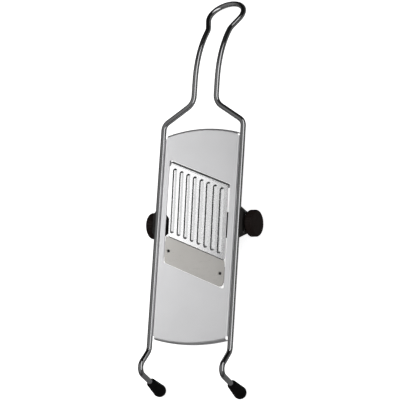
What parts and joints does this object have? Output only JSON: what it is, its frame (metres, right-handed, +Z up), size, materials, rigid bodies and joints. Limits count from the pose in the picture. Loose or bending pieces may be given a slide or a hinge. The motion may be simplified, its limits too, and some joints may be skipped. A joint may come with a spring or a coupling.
{
  "type": "mandoline slicer",
  "caption": "Steel wire-framed mandoline slicer with a slanted fixed blade, a ribbed ramp raised and lowered by side knobs, a wire handle loop and rubber feet.",
  "frame": {"origin": "middle of the footprint on the table, under the slicer as it rests on its rubber feet and handle tip", "axes": "+Z up from the table, +Y along the slicer towards the handle, +X across it to the right"},
  "size_m": [0.12, 0.4073, 0.0485],
  "materials": {
    "polished_wire": "polished stainless steel wire",
    "deck_steel": "satin rolled stainless sheet",
    "weld_steel": "cleaned weld bead",
    "ramp_steel": "bright pressed stainless sheet",
    "blade_steel": "fine matt ground blade steel",
    "rivet_steel": "dark steel rivet",
    "bright_steel": "turned stainless steel",
    "dark_screw": "black oxide steel",
    "black_plastic": "moulded black nylon",
    "knob_plastic": "black knob plastic, fine texture",
    "foot_rubber": "black soft rubber",
    "washer_rubber": "dark friction washer"
  },
  "bodies": {
    "frame": {"wire_frame": "polished_wire", "deck_plate": "deck_steel", "deck_welds": "weld_steel", "hinge_rod": "bright_steel", "blade": "blade_steel", "blade_rivets": "rivet_steel", "foot_cap_left": "foot_rubber", "hinge_lug_left": "deck_steel", "blade_tab_left": "deck_steel", "bearing_left": "black_plastic", "bearing_screws_left": "bright_steel", "friction_washer_left": "washer_rubber", "foot_cap_right": "foot_rubber", "hinge_lug_right": "deck_steel", "blade_tab_right": "deck_steel", "bearing_right": "black_plastic", "bearing_screws_right": "bright_steel", "friction_washer_right": "washer_rubber"},
    "cam_shaft": {"camshaft": "bright_steel", "cam_pins": "bright_steel", "knob_grub_screws": "dark_screw", "cam_left": "black_plastic", "knob_left": "knob_plastic", "retaining_ring_left": "bright_steel", "cam_right": "black_plastic", "knob_right": "knob_plastic", "retaining_ring_right": "bright_steel"},
    "ramp": {"ramp_plate": "ramp_steel"}
  },
  "joints": [
    {"name": "knob_turn", "type": "hinge", "parent": "frame", "child": "cam_shaft", "pos_m": [0, -0.03443, 0.02319], "axis": [1, 0, 0], "range_deg": [-60, 120]},
    {"name": "ramp_tilt", "type": "hinge", "parent": "frame", "child": "ramp", "pos_m": [0, 0.01285, 0.03803], "axis": [0.9323, -0.3614, -0.0127], "range_deg": [-1.4, 2.7]}
  ],
  "couplings": [
    {"joint": "ramp_tilt", "follows": "knob_turn", "ratio": 0.022}
  ]
}
